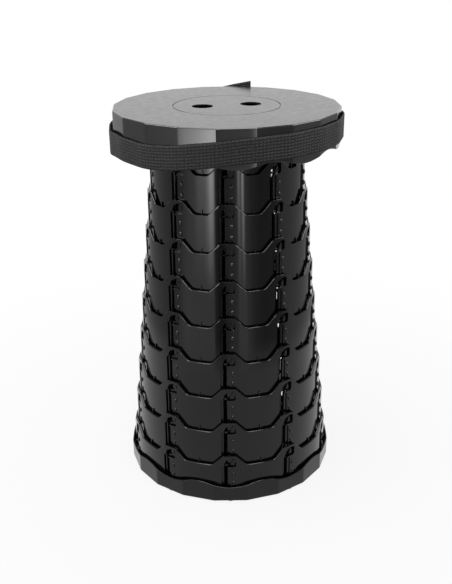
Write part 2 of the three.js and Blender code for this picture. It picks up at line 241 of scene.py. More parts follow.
def on_crest(edge, low, top):
    """Whether an edge lies on the outside of the upper edge, on a slant or between two humps."""
    along = sum(vert.co.x for vert in edge.verts) / 2
    foot = low - CREST_ROUND - WELD
    outside = all(vert.co.y < RING_WALL / 2 and vert.co.z > foot for vert in edge.verts)
    return outside and not -HUMP_LEFT - HUMP_ROUND < along < HUMP_RIGHT + HUMP_ROUND


def wall_sector(foot, top, outer, has_hump):
    """The flat wall of one sector, its outside at y 0, open where the next sector joins it."""
    bm = bmesh.new()
    start = SECTOR_START * outer
    end = start + SECTOR * outer
    low = top - HUMP_RISE if has_hump else top
    hump = [
        (HUMP_RIGHT + HUMP_SLANT, low, LOW_ROUND),
        (HUMP_RIGHT, top, HUMP_ROUND),
        (-HUMP_LEFT, top, HUMP_ROUND),
        (-HUMP_LEFT - HUMP_SLANT, low, LOW_ROUND),
    ]
    draw_loop(bm, [
        (start, foot, 0),
        (end, foot, 0),
        (end, low, 0),
        *(hump if has_hump else []),
        (start, low, 0),
    ])
    draw_loop(bm, [
        (SLOT_LEFT, foot + SLOT_FOOT, 0),
        (SLOT_RIGHT, foot + SLOT_FOOT, 0),
        (SLOT_RIGHT, foot + RECESS_FOOT, 0),
        (RECESS_RIGHT, foot + RECESS_FOOT, SLOT_ROUND),
        (RECESS_RIGHT, top - RECESS_RIGHT_TOP, SLOT_ROUND),
        (SLOT_RIGHT, top - RECESS_RIGHT_TOP, 0),
        (SLOT_RIGHT, top - CROOK_FLOOR, 0),
        (CROOK_RIGHT, top - CROOK_FLOOR, CROOK_ROUND),
        (CROOK_RIGHT, top - CROOK_TOP, CROOK_ROUND),
        (CROOK_MIDDLE, top - CROOK_TOP, CROOK_ROUND),
        (CROOK_LEFT, top - CROOK_BEND, CROOK_ROUND),
        (SLOT_LEFT, top - CROOK_SIDE, CROOK_ROUND / 2),
        (SLOT_LEFT, top - RECESS_LEFT_TOP, 0),
        (RECESS_LEFT, top - RECESS_LEFT_TOP, SLOT_ROUND),
        (RECESS_LEFT, foot + RECESS_FOOT, SLOT_ROUND),
        (SLOT_LEFT, foot + RECESS_FOOT, 0),
    ])
    bmesh.ops.triangle_fill(bm, edges=bm.edges[:], use_beauty=True, normal=(0, -1, 0))
    thicken(bm, bm.faces[:], RING_WALL)
    ends = [
        face for face in bm.faces
        if all(min(abs(vert.co.x - start), abs(vert.co.x - end)) < WELD for vert in face.verts)
    ]
    bmesh.ops.delete(bm, geom=ends, context="FACES")
    crest = [edge for edge in sharp_edges(bm.edges) if has_hump and on_crest(edge, low, top)]
    round_edges(bm, crest, CREST_ROUND, CREST_SEGMENTS)
    round_edges(bm, [edge for edge in sharp_edges(bm.edges) if not on_crest(edge, low, top)], EDGE_ROUND)
    return bm


def add_stud(bm, foot):
    """The lock stud: a drop-shaped pad, wide at its foot, that stands in the crook of the ring outside."""
    old = set(bm.faces)
    draw_loop(bm, [
        (STUD_LEFT, foot + STUD_FOOT, STUD_ROUND),
        (STUD_RIGHT, foot + STUD_FOOT, STUD_ROUND),
        (STUD_TIP, foot + STUD_TOP, STUD_ROUND),
    ])
    loop = [edge for edge in bm.edges if not edge.link_faces]
    sheet = bmesh.ops.triangle_fill(bm, edges=loop, use_beauty=True, normal=(0, -1, 0))["geom"]
    sheet = [item for item in sheet if isinstance(item, bmesh.types.BMFace)]
    verts = each_once(vert for face in sheet for vert in face.verts)
    bmesh.ops.translate(bm, vec=(0, -STUD_PROUD, 0), verts=verts)
    thicken(bm, sheet, STUD_PROUD + ROOT)
    edges = each_once(edge for face in bm.faces if face not in old for edge in face.edges)
    round_edges(bm, sharp_edges(edges), EDGE_ROUND)


def add_nub(bm, foot, height):
    """A small round-topped catch that clicks into the slot of the ring outside as the stool folds."""
    place = Matrix.Translation((NUB_ALONG, 0, foot + height)) @ Matrix.Diagonal((*NUB_SIZE, 1))
    bmesh.ops.create_uvsphere(
        bm, u_segments=NUB_SEGMENTS, v_segments=NUB_SEGMENTS // 2, radius=1, matrix=place,
    )


def add_block(bm, near, far, rounding=EDGE_ROUND / 2):
    """A block between two opposite corners, with its edges rounded."""
    near, far = Vector(near), Vector(far)
    place = Matrix.Translation((near + far) / 2) @ Matrix.Diagonal((*(far - near), 1))
    verts = bmesh.ops.create_cube(bm, size=1, matrix=place)["verts"]
    edges = each_once(edge for vert in verts for edge in vert.link_edges)
    return round_edges(bm, edges, rounding)["verts"]


def add_rib(bm, foot, outer):
    """A centring rib, half way between two slots, that keeps this ring clear of the one outside."""
    middle = SECTOR / 2 * outer
    add_block(
        bm, (middle - RIB_WIDTH / 2, -RIB_PROUD, foot + RIB_LIFT),
        (middle + RIB_WIDTH / 2, ROOT, foot + RIB_LIFT + RIB_HEIGHT),
    )


def add_guides(bm, foot, top):
    """The thin recessed strips beside the slot. Behind each an upright guide leans in towards the slot."""
    low = foot + RECESS_FOOT - ROOT
    for side, edge, recess, depth, drop in (
        (-1, SLOT_LEFT, RECESS_LEFT, RECESS_DEPTH_LEFT, RECESS_LEFT_TOP),
        (1, SLOT_RIGHT, RECESS_RIGHT, RECESS_DEPTH_RIGHT, RECESS_RIGHT_TOP),
    ):
        high = top - drop + ROOT
        left, right = sorted((edge, recess + side * ROOT))
        add_block(bm, (left, depth, low), (right, depth + RECESS_PLATE, high))
        left, right = sorted((edge, edge + side * GUIDE_WIDTH))
        for vert in add_block(bm, (left, RING_WALL - ROOT, low), (right, RING_WALL + GUIDE_DEPTH, high)):
            vert.co.x -= side * GUIDE_LEAN * max(0, vert.co.y - RING_WALL) / GUIDE_DEPTH


def add_tabs(bm, inner):
    """The top ring's five tabs, which take the screws from the seat."""
    near = (-TAB_WIDTH / 2, -inner - ROOT, TAB_FOOT)
    far = (TAB_WIDTH / 2, TAB_LENGTH - inner, TAB_FOOT + TAB_THICK)
    for number in range(SCREWS):
        turn = Matrix.Rotation(SECTOR / 2 + number * 2 * pi / SCREWS, 3, "Z")
        bmesh.ops.rotate(bm, verts=add_block(bm, near, far), cent=(0, 0, 0), matrix=turn)


def cut_columns(bm, start, step, count):
    for column in range(1, count):
        cut = bm.verts[:] + bm.edges[:] + bm.faces[:]
        place = (start + column * step, 0, 0)
        bmesh.ops.bisect_plane(bm, geom=cut, dist=WELD, plane_co=place, plane_no=(1, 0, 0))


def on_face(face):
    return abs(face.normal.y) > FLAT_COSINE


def on_rim(face):
    return abs(face.normal.y) < RIM_COSINE


def keep_flat_normals(bm):
    """Stores the shading of every face corner while the panel is flat, where each face is truly plane."""
    def mean(face, around, chosen, least):
        like = [near.normal for near in around if chosen(near) and near.normal.dot(face.normal) > least]
        return sum(like, Vector()).normalized() if like else None

    layer = bm.loops.layers.float_vector.new("flat_normal")
    bm.normal_update()
    for face in bm.faces:
        for corner in face.loops:
            around = corner.vert.link_faces
            if on_face(face):
                corner[layer] = face.normal
            elif on_rim(face):
                corner[layer] = mean(face, around, on_rim, RIM_ALIKE) or face.normal
            else:
                corner[layer] = (
                    mean(face, around, on_face, ROUND_ALIKE)
                    or mean(face, around, on_rim, ROUND_ALIKE)
                    or corner.vert.normal
                )


def bend(bm, outer):
    """Bends the flat sector round the stool's axis, with its outside at the outer radius."""
    for vert in bm.verts:
        angle, radius = vert.co.x / outer, outer - vert.co.y
        vert.co.x, vert.co.y = radius * sin(angle), -radius * cos(angle)


def repeat_sector(bm):
    """Repeats the sector round the axis and welds it. The corners are sorted along a slanted line first,
    because their order varies from run to run and the weld goes by it."""
    bmesh.ops.spin(
        bm, geom=bm.verts[:] + bm.edges[:] + bm.faces[:], cent=(0, 0, 0), axis=(0, 0, 1), dvec=(0, 0, 0),
        angle=SECTOR * (SECTORS - 1), steps=SECTORS - 1, use_duplicate=True,
    )
    bm.verts.sort(key=lambda vert: vert.co.dot(WELD_LINE))
    bmesh.ops.remove_doubles(bm, verts=bm.verts[:], dist=WELD)


def make_piece(name, bm, *materials):
    mesh = bpy.data.meshes.new(name)
    bm.to_mesh(mesh)
    bm.free()
    mesh.shade_smooth()
    for material in materials:
        mesh.materials.append(material)
    piece = bpy.data.objects.new(name, mesh)
    scene.collection.objects.link(piece)
    return piece


def turn_flat_normals(mesh):
    """Turns the stored shading to where each corner now stands, and makes it the mesh's own."""
    turned = []
    stored = mesh.attributes["flat_normal"]
    for loop, flat in zip(mesh.loops, stored.data):
        place = mesh.vertices[loop.vertex_index].co
        turned.append(Matrix.Rotation(atan2(place.x, -place.y), 3, "Z") @ flat.vector)
    mesh.attributes.remove(stored)
    mesh.normals_split_custom_set(turned)


ring_plastic = glossy_polypropylene()
for number in range(1, RINGS + 1):
    node = f"ring_{number:02d}"
    foot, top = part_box(node)[0].z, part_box(node)[1].z
    outer = RING_OUTER - (number - 1) * RING_STEP
    bm = wall_sector(foot, top, outer, number < RINGS)
    add_stud(bm, foot)
    for height in NUB_HEIGHTS:
        add_nub(bm, foot, height)
    add_rib(bm, foot, outer)
    if number < RINGS:
        add_guides(bm, foot, top)
    cut_columns(bm, SECTOR_START * outer, SECTOR * outer / WALL_COLUMNS, WALL_COLUMNS)
    keep_flat_normals(bm)
    bend(bm, outer)
    repeat_sector(bm)
    if number == RINGS:
        add_tabs(bm, outer - RING_WALL)
    ring = make_piece(f"{node}_moulding", bm, ring_plastic)
    turn_flat_normals(ring.data)
    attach(ring, "base" if number == 1 else "seat" if number == RINGS else node)
    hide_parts(node)

# Base tray
# The lowest piece is a shallow twenty-sided tray in the same glossy polypropylene. Its wavy rim holds
# the first ring, and it stands on ten small lugs moulded under its edge.
DRUM_SIDES = 20
DRUM_STEP = 2 * pi / DRUM_SIDES
SIDE_SPANS = 6
BASE_CORNER = 128.4 * MM
BASE_WALL = 2 * MM
BASE_FLOOR = 1.8 * MM
BASE_BAND = 23 * MM
LUG_HEIGHT = 1.2 * MM
LUG_WIDTH = 4.5 * MM
LUG_DEPTH = 5 * MM
LUG_INSET = 1 * MM
CATCH_WIDTH = 3.4 * MM
CATCH_HEIGHT = 3 * MM
CATCH_BITE = 1.4 * MM
CLEARANCE = 0.3 * MM
WAVE = 3.5 * MM
RIM_ROUND = 0.5 * MM
FOOT_ROUND = 0.8 * MM
FOOT_SEGMENTS = 3
CORNER_ROUND = 1.2 * MM
CORNER_LENGTH = 8 * MM
SIDE_ANGLE = radians(10)


def angle_of(place):
    """The angle round the axis from the front, towards the right."""
    return atan2(place.x, -place.y)


def drum_radius(corner, angle, turn):
    """The distance from the axis to a flat side of a drum, at an angle."""
    off = (angle - turn + DRUM_STEP / 2) % DRUM_STEP - DRUM_STEP / 2
    return corner * cos(DRUM_STEP / 2) / cos(off)


def sweep_profile(bm, profile, turn):
    """Carries a loop round the axis from point to point of a profile. Each point is a radius, a height, and
    whether the loop has the drum's flat sides there. Gives the edges of the first and last loops."""
    place = Matrix.Rotation(turn - pi / 2, 4, "Z")
    verts = bmesh.ops.create_circle(bm, segments=DRUM_SIDES * SIDE_SPANS, radius=1, matrix=place)["verts"]
    first = edges = each_once(edge for vert in verts for edge in vert.link_edges)
    for index, (reach, height, has_sides) in enumerate(profile):
        if index:
            made = bmesh.ops.extrude_edge_only(bm, edges=edges)["geom"]
            verts = [item for item in made if isinstance(item, bmesh.types.BMVert)]
            edges = [item for item in made if isinstance(item, bmesh.types.BMEdge)]
        for vert in verts:
            angle = angle_of(vert.co)
            radius = drum_radius(reach, angle, turn) if has_sides else reach
            vert.co = (radius * sin(angle), -radius * cos(angle), height)
    return first, edges


def wave_rim(bm, height, turn):
    """Moves the level rim to its wavy line, lowest over each slot."""
    for vert in bm.verts:
        if abs(vert.co.z - height) < WELD:
            vert.co.z -= WAVE * cos(SECTORS * (angle_of(vert.co) - turn))


def upright_corners(bm, least):
    """The corners between the drum's outer sides."""
    return [
        edge for edge in sharp_edges(bm.edges, SIDE_ANGLE)
        if abs(edge.verts[0].co.z - edge.verts[1].co.z) > CORNER_LENGTH
        and all(vert.co.xy.length > least for vert in edge.verts)
    ]


def around(bm, verts, angle):
    bmesh.ops.rotate(bm, verts=verts, cent=(0, 0, 0), matrix=Matrix.Rotation(angle, 3, "Z"))


def finish_edges(piece):
    piece.modifiers.new("weighted normals", "WEIGHTED_NORMAL")


def base_tray():
    bm = bmesh.new()
    floor = LUG_HEIGHT + BASE_FLOOR
    for edges in sweep_profile(bm, (
        (BASE_CORNER, LUG_HEIGHT, True),
        (BASE_CORNER, BASE_BAND, True),
        (BASE_CORNER - BASE_WALL, BASE_BAND, True),
        (BASE_CORNER - BASE_WALL, floor, True),
    ), 0):
        bmesh.ops.edgeloop_fill(bm, edges=edges)
    bmesh.ops.recalc_face_normals(bm, faces=bm.faces[:])
    wave_rim(bm, BASE_BAND, 0)
    round_edges(bm, upright_corners(bm, BASE_CORNER - BASE_WALL / 2), CORNER_ROUND)
    bottom = [edge for edge in bm.edges if all(abs(vert.co.z - LUG_HEIGHT) < WELD for vert in edge.verts)]
    round_edges(bm, bottom, FOOT_ROUND, FOOT_SEGMENTS)
    upper = [edge for edge in sharp_edges(bm.edges) if min(vert.co.z for vert in edge.verts) > floor + WELD]
    round_edges(bm, upper, RIM_ROUND)
    flat = BASE_CORNER * cos(DRUM_STEP / 2)
    for number in range(SECTORS):
        outside = LUG_INSET - flat
        lug = add_block(bm, (-LUG_WIDTH / 2, outside, 0), (LUG_WIDTH / 2, outside + LUG_DEPTH, floor))
        around(bm, lug, number * SECTOR)
        low = floor + CLEARANCE + SLOT_FOOT + CLEARANCE
        middle = (SLOT_LEFT + SLOT_RIGHT) / 2
        catch = add_block(
            bm, (middle - CATCH_WIDTH / 2, BASE_WALL - flat - ROOT, low),
            (middle + CATCH_WIDTH / 2, CATCH_BITE - RING_OUTER, low + CATCH_HEIGHT),
        )
        around(bm, catch, number * SECTOR)
    return bm


base = make_piece("base_tray_moulding", base_tray(), ring_plastic)
finish_edges(base)
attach(base, "base")
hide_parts("base_tray")

# Seat cap
# A twenty-sided moulding with a flat plate and a skirt whose lower edge waves. Its top has a fine
# spark-eroded grain, its sides are polished, and five bosses under the plate take the screws.
SEAT_TOP = 450 * MM
SEAT_UNDER = 447 * MM
SEAT_FOOT = 410.2 * MM
SEAT_CORNER = 129.6 * MM
SEAT_TURN = radians(4.4)
SEAT_EDGE = 1.5 * MM
SEAT_EDGE_SEGMENTS = 3
SKIRT_WALL = 2 * MM
REBATE = 61.5 * MM
REBATE_FLOOR = 447.9 * MM
REBATE_ROUND = 0.2 * MM
LEDGE = 59 * MM
BOSS_RADIUS = 4.2 * MM
SCREW_REACH = 78.95 * MM
BOSS_HEIGHT = 10 * MM
BOSS_SEGMENTS = 32

# The real grain is about 0.2 mm wide and would not show, so it is drawn coarser.
SEAT_GREY = "#222223"
GRAIN = 0.9 * MM
GRAIN_DEPTH = 0.03 * MM
POLISHED_DEPTH = 0.003 * MM
PATCH = 7 * MM
LEVEL_COSINE = 0.999


def seat_polypropylene(name, rough, specular, grain_depth):
    """Dark grey polypropylene, whose surface copies the mould: grained on top, polished at the sides."""
    material, tree = new_material(name)
    place = add_node(tree, "TexCoord", {})
    grain = add_node(tree, "TexNoise", {"Vector": place.outputs["Object"], "Scale": 1 / GRAIN, "Detail": 2})
    patch = add_node(tree, "TexNoise", {"Vector": place.outputs["Object"], "Scale": 1 / PATCH, "Detail": 4})
    gloss = add_node(tree, "MapRange", {
        "Value": patch.outputs[0], "From Min": 0.3, "From Max": 0.7,
        "To Min": 0.9 * rough, "To Max": 1.1 * rough,
    })
    bump = add_node(tree, "Bump", {"Height": grain.outputs[0], "Distance": grain_depth, "Strength": 0.28})
    shader = add_node(tree, "BsdfPrincipled", {
        "Base Color": linear(SEAT_GREY), "Roughness": gloss.outputs[0], "Normal": bump.outputs[0],
        "IOR": PLASTIC_IOR, "Specular IOR Level": specular,
    })
    add_node(tree, "OutputMaterial", {"Surface": shader.outputs[0]})
    return material


def grain_top(bm):
    """Gives the second material, the grained one, to the level faces at the very top."""
    bm.normal_update()
    for face in bm.faces:
        level = face.normal.z > LEVEL_COSINE and face.calc_center_median().z > SEAT_TOP - WELD
        face.material_index = int(level)


def seat_cap():
    bm = bmesh.new()
    sweep_profile(bm, (
        (LEDGE, SEAT_UNDER, False),
        (SEAT_CORNER - SKIRT_WALL, SEAT_UNDER, True),
        (SEAT_CORNER - SKIRT_WALL, SEAT_FOOT, True),
        (SEAT_CORNER, SEAT_FOOT, True),
        (SEAT_CORNER, SEAT_TOP, True),
        (REBATE, SEAT_TOP, False),
        (REBATE, REBATE_FLOOR, False),
        (LEDGE, REBATE_FLOOR, False),
        (LEDGE, SEAT_UNDER, False),
    ), SEAT_TURN)
    bmesh.ops.remove_doubles(bm, verts=bm.verts[:], dist=WELD)
    bmesh.ops.recalc_face_normals(bm, faces=bm.faces[:])
    wave_rim(bm, SEAT_FOOT, SEAT_TURN)
    round_edges(bm, upright_corners(bm, SEAT_CORNER - SKIRT_WALL / 2), CORNER_ROUND)
    middle = (REBATE + SEAT_CORNER) / 2
    outside = [
        edge for edge in sharp_edges(bm.edges)
        if all(vert.co.z > SEAT_TOP - WELD and vert.co.xy.length > middle for vert in edge.verts)
    ]
    round_edges(bm, outside, SEAT_EDGE, SEAT_EDGE_SEGMENTS)
    highest = SEAT_FOOT + 2 * WAVE
    rim = [edge for edge in sharp_edges(bm.edges) if all(vert.co.z < highest for vert in edge.verts)]
    round_edges(bm, rim, RIM_ROUND)
    rebate = [
        edge for edge in sharp_edges(bm.edges)
        if all(vert.co.z > SEAT_TOP - WELD and vert.co.xy.length < REBATE + WELD for vert in edge.verts)
    ]
    round_edges(bm, rebate, REBATE_ROUND)
    below = Matrix.Translation((0, -SCREW_REACH, SEAT_UNDER - (BOSS_HEIGHT - ROOT) / 2))
    for number in range(SCREWS):
        place = Matrix.Rotation(SECTOR / 2 + number * 2 * pi / SCREWS, 4, "Z") @ below
        bmesh.ops.create_cone(
            bm, cap_ends=True, segments=BOSS_SEGMENTS, radius1=BOSS_RADIUS, radius2=BOSS_RADIUS,
            depth=BOSS_HEIGHT + ROOT, matrix=place,
        )
    grain_top(bm)
    return bm


polished_seat = seat_polypropylene(
    "polished_dark_grey_polypropylene", rough=0.12, specular=0.4, grain_depth=POLISHED_DEPTH,
)
grained_seat = seat_polypropylene(
    "grained_dark_grey_polypropylene", rough=0.3, specular=0.35, grain_depth=GRAIN_DEPTH,
)
cap = make_piece("seat_cap_moulding", seat_cap(), polished_seat, grained_seat)
finish_edges(cap)
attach(cap, "seat")
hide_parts("seat_cap")

# Centre disc
# A separate round plate in the same grained plastic, with two finger holes that lift and turn the seat.
# A collar under it, with four hooks, snaps it into the seat's rebate.
DISC_RADIUS = 60.4 * MM
DISC_PLATE = 1.8 * MM
DISC_SEGMENTS = 128
DISC_ROUND = 0.2 * MM
COLLAR = 58.7 * MM
COLLAR_WALL = 1.8 * MM
COLLAR_DEPTH = 5 * MM
FINGER_RADIUS = 12 * MM
FINGER_REACH = 28 * MM
FINGER_TURN = radians(13)
HOOKS = 4
HOOK_WIDTH = 8 * MM
HOOK_THICK = 1.5 * MM
HOOK_BITE = 1.2 * MM


def level_circle(bm, radius, height, along=0):
    place = Matrix.Rotation(FINGER_TURN, 4, "Z") @ Matrix.Translation((along, 0, height))
    verts = bmesh.ops.create_circle(bm, segments=DISC_SEGMENTS, radius=radius, matrix=place)["verts"]
    return each_once(edge for vert in verts for edge in vert.link_edges)


def centre_disc():
    bm = bmesh.new()
    under = SEAT_TOP - DISC_PLATE
    level_circle(bm, DISC_RADIUS, under)
    for side in (-1, 1):
        level_circle(bm, FINGER_RADIUS, under, side * FINGER_REACH)
    bmesh.ops.triangle_fill(bm, edges=bm.edges[:], use_beauty=True, normal=(0, 0, -1))
    plate = bmesh.ops.extrude_face_region(bm, geom=bm.faces[:])["geom"]
    lifted = [item for item in plate if isinstance(item, bmesh.types.BMVert)]
    bmesh.ops.translate(bm, vec=(0, 0, DISC_PLATE), verts=lifted)
    bmesh.ops.recalc_face_normals(bm, faces=bm.faces[:])
    round_edges(bm, sharp_edges(bm.edges), DISC_ROUND)
    place = Matrix.Translation((0, 0, under + DISC_ROUND - COLLAR_DEPTH / 2))
    collar = bmesh.ops.create_cone(
        bm, cap_ends=False, segments=DISC_SEGMENTS, radius1=COLLAR, radius2=COLLAR,
        depth=COLLAR_DEPTH, matrix=place,
    )["verts"]
    wall = each_once(face for vert in collar for face in vert.link_faces)
    bmesh.ops.solidify(bm, geom=wall, thickness=COLLAR_WALL)
    low = SEAT_UNDER - CLEARANCE - HOOK_THICK
    for number in range(HOOKS):
        hook = add_block(
            bm, (-HOOK_WIDTH / 2, -COLLAR - HOOK_BITE, low),
            (HOOK_WIDTH / 2, COLLAR_WALL / 2 - COLLAR, low + HOOK_THICK),
        )
        around(bm, hook, FINGER_TURN + number * 2 * pi / HOOKS)
    grain_top(bm)
    return bm


disc = make_piece("centre_disc_moulding", centre_disc(), polished_seat, grained_seat)
finish_edges(disc)
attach(disc, "seat")
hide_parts("centre_disc")

# Seat screws
# Five zinc-plated steel screws hold the top ring to the seat's bosses. Their heads bear on the tabs.
# The plating gives them a bright grey shine with faint cloudy stains.
SCREW_ZINC = "#b9bcbf"
STAIN = 2 * MM
zinc, tree = new_material("zinc_plated_steel")
place = add_node(tree, "TexCoord", {})
stain = add_node(tree, "TexNoise", {"Vector": place.outputs["Object"], "Scale": 1 / STAIN, "Detail": 2})
gloss = add_node(tree, "MapRange", {"Value": stain.outputs[0], "To Min": 0.22, "To Max": 0.38})
metal = add_node(tree, "BsdfPrincipled", {
    "Base Color": linear(SCREW_ZINC), "Metallic": 1, "Roughness": gloss.outputs[0],
})
add_node(tree, "OutputMaterial", {"Surface": metal.outputs[0]})
for number in range(1, SCREWS + 1):
    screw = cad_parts[f"seat_screw_{number}"]
    screw.data.materials.clear()
    screw.data.materials.append(zinc)

# Carry strap
# A loop of black polypropylene webbing, 26 mm wide, drawn round the skirt. It lies flat on each side of
# the seat, bends softly at the corners, sags to the front left and is a little slack at the two sides.
WEB_WIDTH = 26 * MM
WEB_THICK = 1.6 * MM
WEB_CORNER = 130.1 * MM
WEB_BEND = 8 * MM
BEND_SEGMENTS = 4
WEB_DEPTH = 20.8 * MM
WEB_SAG = 13.5 * MM
WEB_SAG_ANGLE = radians(-40)
WEB_SAG_SPREAD = radians(38)
WEB_SLACK = 1.6 * MM
SLACK_POWER = 4
WEB_DROOP = 12 * MM
WEB_LEAN = 2 * MM
DROOP_ANGLE = radians(-92)
DROOP_SPREAD = radians(26)
WEB_ROWS = 8
WEB_CUTS = 7
WEB_RIPPLE = 0.35 * MM
RIPPLE_WAVES = 7
RIPPLE_START = 1
RIPPLE_SWELLS = 3
WEB_EDGE = 0.5 * MM
SELVEDGE_SEGMENTS = 2

# The real ribs are about 2 mm apart and would not show, so they are drawn coarser. A wave texture
# of scale 1 repeats every tenth of pi.
WAVE_PERIOD = pi / 10
RIB_PITCH = 4 * MM
ROW_PITCH = 3.2 * MM
WEAVE_DEPTH = 0.6 * MM
# Two tones of the webbing's black: the darker is painted shade for the gaps, the lighter is painted light
# for the rib tops
WEB_GAP_BLACK_PAINTED_SHADE = "#050505"
WEB_RIB_BLACK_PAINTED_LIGHT = "#171719"
FLAT_EDGE = radians(40)


def webbing():
    """Woven polypropylene: thick ribs along and across, which catch the light, over gaps. Painted shade
    darkens its colour in the gaps, and painted light lightens it on the rib tops.
    """
    material, tree = new_material("woven_black_polypropylene_webbing")
    place = add_node(tree, "UVMap", {}, uv_map="webbing").outputs[0]
    ribs, rows = (
        add_node(tree, "TexWave", {"Vector": place, "Scale": WAVE_PERIOD / pitch}, bands_direction=way)
        for pitch, way in ((RIB_PITCH, "X"), (ROW_PITCH, "Y"))
    )
    weave = add_node(tree, "Math", {0: ribs.outputs["Fac"], 1: rows.outputs["Fac"]}, operation="MULTIPLY")
    bump = add_node(tree, "Bump", {"Height": weave.outputs[0], "Distance": WEAVE_DEPTH, "Strength": 1})
    # The colour goes from the gap tone to the rib tone with the weave's height: painted shade in the gaps,
    # painted light on the ribs
    yarn_and_painted_shade = add_node(tree, "Mix", {
        "Factor": weave.outputs[0], "A": linear(WEB_GAP_BLACK_PAINTED_SHADE), "B": linear(WEB_RIB_BLACK_PAINTED_LIGHT),
    }, data_type="RGBA")
    shader = add_node(tree, "BsdfPrincipled", {
        "Base Color": yarn_and_painted_shade.outputs["Result"], "Roughness": 0.68, "IOR": 1.45, "Normal": bump.outputs[0],
        "Specular IOR Level": 0.2, "Sheen Weight": 0.04, "Sheen Roughness": 0.4,
    })
    add_node(tree, "OutputMaterial", {"Surface": shader.outputs[0]})
    return material


def web_depth(angle):
    """How far the strap's middle lies below the seat's top."""
    off = (angle - WEB_SAG_ANGLE + pi) % (2 * pi) - pi
    return WEB_DEPTH + WEB_SAG * exp(-((off / WEB_SAG_SPREAD) ** 2))


def web_slack(angle):
    return WEB_SLACK * sin(angle) ** SLACK_POWER


def lay_uv(bm, length_of, height_of):
    """The webbing's own map, in metres along it and across it."""
    layer = bm.loops.layers.uv.new("webbing")
    for face in bm.faces:
        middle = length_of(face.calc_center_median(), 0)
        for corner in face.loops:
            corner[layer].uv = (length_of(corner.vert.co, middle), height_of(corner.vert))


def finish_webbing(piece):
    """Gives the sheet its thickness, outwards, and rounds its selvedges."""
    thick = piece.modifiers.new("thickness", "SOLIDIFY")
    thick.thickness = WEB_THICK
    thick.offset = 1
    edge = piece.modifiers.new("selvedge", "BEVEL")
    edge.width = WEB_EDGE
    edge.segments = SELVEDGE_SEGMENTS
    edge.limit_method = "ANGLE"
    edge.angle_limit = FLAT_EDGE


def face_out(bm):
    inward = [face for face in bm.faces if face.normal.dot(face.calc_center_median()) < 0]
    bmesh.ops.reverse_faces(bm, faces=inward)


def way_round(place, near):
    """The length along the strap to a place, on the same turn as a length near by."""
    whole = 2 * pi * WEB_CORNER
    return near + (angle_of(place) * WEB_CORNER - near + whole / 2) % whole - whole / 2


def strap_loop():
    bm = bmesh.new()
    place = Matrix.Rotation(SEAT_TURN + DRUM_STEP / 2 - pi / 2, 4, "Z")
    corners = bmesh.ops.create_circle(bm, segments=DRUM_SIDES, radius=WEB_CORNER, matrix=place)["verts"]
    for vert in corners:
        vert.co *= 1 + web_slack(angle_of(vert.co)) / WEB_CORNER
    for vert in corners:
        bmesh.ops.bevel(
            bm, geom=[vert], offset=WEB_BEND, offset_type="OFFSET", segments=BEND_SEGMENTS,
            profile=0.5, affect="VERTICES", material=-1,
        )
    sides = [edge for edge in bm.edges if edge.calc_length() > WEB_BEND]
    bmesh.ops.subdivide_edges(bm, edges=sides, cuts=WEB_CUTS)
    edges = bm.edges[:]
    for row in range(WEB_ROWS):
        made = bmesh.ops.extrude_edge_only(bm, edges=edges)["geom"]
        verts = [item for item in made if isinstance(item, bmesh.types.BMVert)]
        edges = [item for item in made if isinstance(item, bmesh.types.BMEdge)]
        bmesh.ops.translate(bm, vec=(0, 0, WEB_WIDTH / WEB_ROWS), verts=verts)
    bm.normal_update()
    face_out(bm)
    lay_uv(bm, way_round, lambda vert: vert.co.z)
    for vert in bm.verts:
        angle = angle_of(vert.co)
        ripple = WEB_RIPPLE * sin(RIPPLE_WAVES * angle + RIPPLE_START) * sin(RIPPLE_SWELLS * angle)
        droop = exp(-(((angle - DROOP_ANGLE) / DROOP_SPREAD) ** 2))
        vert.co.z += SEAT_TOP - web_depth(angle) - WEB_WIDTH / 2 + ripple - WEB_DROOP * droop
        vert.co.xy *= 1 + (max(0, ripple) + WEB_LEAN * droop) / WEB_CORNER
    return bm


woven = webbing()
strap = make_piece("carry_strap_webbing", strap_loop(), woven)
finish_webbing(strap)
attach(strap, "seat")
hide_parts("carry_strap")

# Strap adjuster
# A moulded acetal frame with two windows, flat on the strap at the back. The strap's end comes up
# through one window, crosses the middle bar and goes down through the other. The mould leaves it
# near black, with a low satin gloss.
SLIDER_ANGLE = SEAT_TURN + 11 * DRUM_STEP
SLIDER_LENGTH = 24 * MM
SLIDER_BAR = 3 * MM
SLIDER_THICK = 2.4 * MM
SLIDER_ROUND = 2.5 * MM
WINDOW_ROUND = 0.8 * MM
SLIDER_EDGE = 0.7 * MM
ACETAL_BLACK = "#101011"


def frame_corners(left, right, low, high, rounding):
    return [(left, low, rounding), (right, low, rounding), (right, high, rounding), (left, high, rounding)]


def slider_frame(near, foot):
    bm = bmesh.new()
    half, bar = SLIDER_LENGTH / 2, SLIDER_BAR
    draw_loop(bm, frame_corners(-half, half, foot - bar, foot + WEB_WIDTH + bar, SLIDER_ROUND))
    draw_loop(bm, frame_corners(bar - half, -bar / 2, foot, foot + WEB_WIDTH, WINDOW_ROUND))
    draw_loop(bm, frame_corners(bar / 2, half - bar, foot, foot + WEB_WIDTH, WINDOW_ROUND))
    bmesh.ops.triangle_fill(bm, edges=bm.edges[:], use_beauty=True, normal=(0, -1, 0))
    bmesh.ops.translate(bm, vec=(0, -near - SLIDER_THICK, 0), verts=bm.verts[:])
    thicken(bm, bm.faces[:], SLIDER_THICK)
    round_edges(bm, sharp_edges(bm.edges), SLIDER_EDGE)
    around(bm, bm.verts[:], SLIDER_ANGLE)
    return bm


acetal, tree = new_material("moulded_black_acetal")
place = add_node(tree, "TexCoord", {})
grain = add_node(tree, "TexNoise", {"Vector": place.outputs["Object"], "Scale": 1 / GRAIN, "Detail": 2})
gloss = add_node(tree, "MapRange", {"Value": grain.outputs[0], "To Min": 0.28, "To Max": 0.38})
shader = add_node(tree, "BsdfPrincipled", {
    "Base Color": linear(ACETAL_BLACK), "Roughness": gloss.outputs[0], "IOR": 1.48,
})
add_node(tree, "OutputMaterial", {"Surface": shader.outputs[0]})

